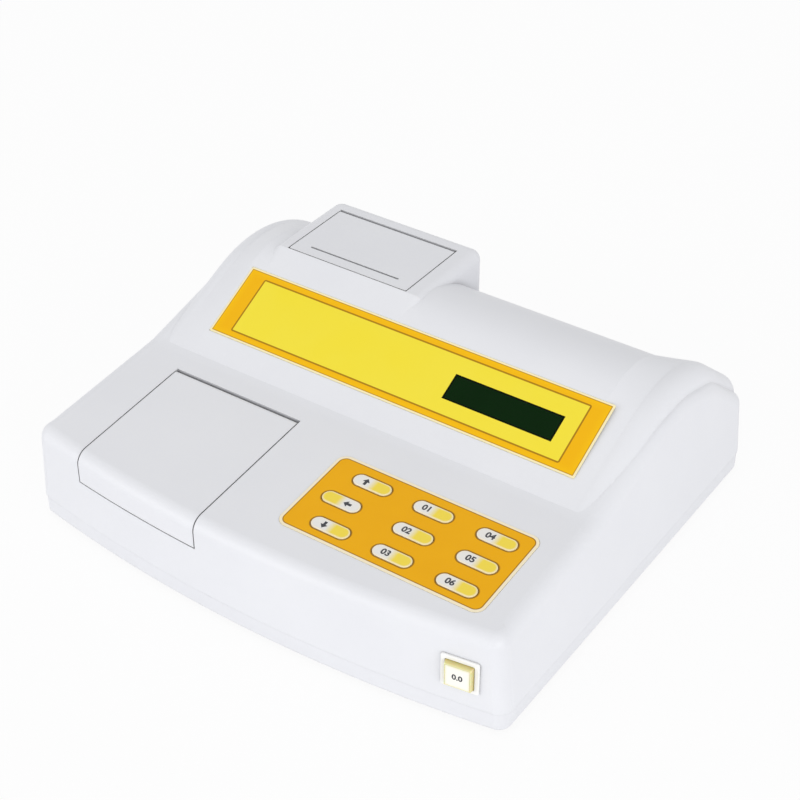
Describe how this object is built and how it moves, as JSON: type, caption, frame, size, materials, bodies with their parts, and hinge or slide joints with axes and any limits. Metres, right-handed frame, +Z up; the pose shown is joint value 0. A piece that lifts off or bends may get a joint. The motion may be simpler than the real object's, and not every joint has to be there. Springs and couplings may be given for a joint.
{
  "type": "benchtop colorimeter",
  "caption": "Desktop light-absorption instrument with a hinged sample lid, sloped keypad deck, raised display hump and a built-in roll printer under a slotted cover",
  "frame": {"origin": "middle of the footprint, on the table under the feet", "axes": "+Z up; -Y is the front with the bowed wall and the read button; +X is the user's right"},
  "size_m": [0.358, 0.323, 0.1245],
  "materials": {
    "housing": "satin moulded plastic, fine texture",
    "tray": "satin moulded plastic",
    "rubber": "matt black rubber",
    "steel": "zinc-plated steel",
    "black_plastic": "matt black moulded plastic",
    "lamp_glass": "clear polished",
    "filter_glass": "tinted blue glass",
    "bright_metal": "plated can",
    "overlay": "printed orange film with a cream edge",
    "keycap": "cream and yellow moulded caps",
    "display_tint": "dark green tinted window",
    "display_metal": "black bezel",
    "circuit_board": "green solder mask",
    "component": "dark moulded components",
    "gear_plastic": "natural acetal",
    "paper": "white thermal paper",
    "button_white": "white bezel",
    "button_gold": "amber translucent cap",
    "button_cream": "cream face plate",
    "panel": "powder-coated sheet",
    "transformer_iron": "varnished laminations",
    "ribbon": "grey flat cable"
  },
  "bodies": {
    "housing": {"top_cover": "housing", "base_tray": "tray", "feet": "rubber", "foot_screws": "steel", "cover_screws": "steel", "board_screws": "steel", "lid_pins": "steel", "printer_cover_pins": "steel", "inlet_pins": "steel", "sample_well": "black_plastic", "cuvette_holder": "black_plastic", "light_housing": "black_plastic", "detector_housing": "black_plastic", "printer_frame": "black_plastic", "power_inlet": "black_plastic", "switch_frame": "black_plastic", "fuse_holder": "black_plastic", "button_switch": "black_plastic", "lamp": "lamp_glass", "lens": "lamp_glass", "filter": "filter_glass", "detector": "bright_metal", "feed_motor": "bright_metal", "serial_port": "bright_metal", "keypad_overlay": "overlay", "display_label": "overlay", "display_window": "display_tint", "display_module": "display_metal", "keypad_board": "circuit_board", "display_board": "circuit_board", "main_board": "circuit_board", "keypad_switches": "component", "board_parts": "component", "print_head": "component", "button_bezel": "button_white", "rear_panel": "panel", "transformer": "transformer_iron", "ribbon_cables": "ribbon"},
    "lid": {"sample_lid": "housing", "lid_seal": "rubber"},
    "printer_door": {"printer_cover": "housing"},
    "paper": {"paper_roll": "paper", "paper_spindle": "black_plastic"},
    "platen": {"platen_roller": "rubber", "platen_shaft": "steel", "platen_gear": "gear_plastic"},
    "pinion": {"motor_pinion": "gear_plastic"},
    "read_button": {"button_cap": "button_gold", "button_face": "button_cream"},
    "rocker": {"switch_rocker": "black_plastic"},
    "fuse": {"fuse_cap": "black_plastic"},
    "button_up": {"key_up": "keycap"},
    "button_left": {"key_left": "keycap"},
    "button_down": {"key_down": "keycap"},
    "button_test": {"key_test": "keycap"},
    "button_zero": {"key_zero": "keycap"},
    "button_set": {"key_set": "keycap"},
    "button_mode": {"key_mode": "keycap"},
    "button_store": {"key_store": "keycap"},
    "button_print": {"key_print": "keycap"}
  },
  "joints": [
    {"name": "lid_hinge", "type": "hinge", "parent": "housing", "child": "lid", "pos_m": [-0.08355, -0.0573, 0.07611], "axis": [-1, 0, 0], "range_deg": [0, 98]},
    {"name": "printer_cover_hinge", "type": "hinge", "parent": "housing", "child": "printer_door", "pos_m": [-0.07235, 0.1097, 0.122], "axis": [-1, 0, 0], "range_deg": [0, 94]},
    {"name": "platen_spin", "type": "hinge", "parent": "housing", "child": "platen", "pos_m": [-0.07235, 0.0652, 0.11], "axis": [1, 0, 0], "continuous": true},
    {"name": "pinion_spin", "type": "hinge", "parent": "housing", "child": "pinion", "pos_m": [-0.07235, 0.0652, 0.0968], "axis": [1, 0, 0], "continuous": true},
    {"name": "paper_spin", "type": "hinge", "parent": "housing", "child": "paper", "pos_m": [-0.07235, 0.086, 0.09], "axis": [1, 0, 0], "continuous": true},
    {"name": "read_press", "type": "slide", "parent": "housing", "child": "read_button", "axis": [-0.151, 0.9885, 0], "range_m": [0, 0.0025], "stiffness_N_per_m": 300, "springref_m": -0.002},
    {"name": "power_rocker", "type": "hinge", "parent": "housing", "child": "rocker", "pos_m": [0.02, 0.14745, 0.0345], "axis": [0, 0, 1], "range_deg": [0, 20]},
    {"name": "fuse_draw", "type": "slide", "parent": "housing", "child": "fuse", "axis": [0, 1, 0], "range_m": [0, 0.032]},
    {"name": "press_up", "type": "slide", "parent": "housing", "child": "button_up", "axis": [0, 0.086, -0.9963], "range_m": [0, 0.0005], "stiffness_N_per_m": 400, "springref_m": -0.0005},
    {"name": "press_left", "type": "slide", "parent": "housing", "child": "button_left", "axis": [0, 0.086, -0.9963], "range_m": [0, 0.0005], "stiffness_N_per_m": 400, "springref_m": -0.0005},
    {"name": "press_down", "type": "slide", "parent": "housing", "child": "button_down", "axis": [0, 0.086, -0.9963], "range_m": [0, 0.0005], "stiffness_N_per_m": 400, "springref_m": -0.0005},
    {"name": "press_test", "type": "slide", "parent": "housing", "child": "button_test", "axis": [0, 0.086, -0.9963], "range_m": [0, 0.0005], "stiffness_N_per_m": 400, "springref_m": -0.0005},
    {"name": "press_zero", "type": "slide", "parent": "housing", "child": "button_zero", "axis": [0, 0.086, -0.9963], "range_m": [0, 0.0005], "stiffness_N_per_m": 400, "springref_m": -0.0005},
    {"name": "press_set", "type": "slide", "parent": "housing", "child": "button_set", "axis": [0, 0.086, -0.9963], "range_m": [0, 0.0005], "stiffness_N_per_m": 400, "springref_m": -0.0005},
    {"name": "press_mode", "type": "slide", "parent": "housing", "child": "button_mode", "axis": [0, 0.086, -0.9963], "range_m": [0, 0.0005], "stiffness_N_per_m": 400, "springref_m": -0.0005},
    {"name": "press_store", "type": "slide", "parent": "housing", "child": "button_store", "axis": [0, 0.086, -0.9963], "range_m": [0, 0.0005], "stiffness_N_per_m": 400, "springref_m": -0.0005},
    {"name": "press_print", "type": "slide", "parent": "housing", "child": "button_print", "axis": [0, 0.086, -0.9963], "range_m": [0, 0.0005], "stiffness_N_per_m": 400, "springref_m": -0.0005}
  ],
  "couplings": [
    {"joint": "platen_spin", "follows": "paper_spin", "ratio": 3},
    {"joint": "pinion_spin", "follows": "paper_spin", "ratio": -6.4286}
  ]
}
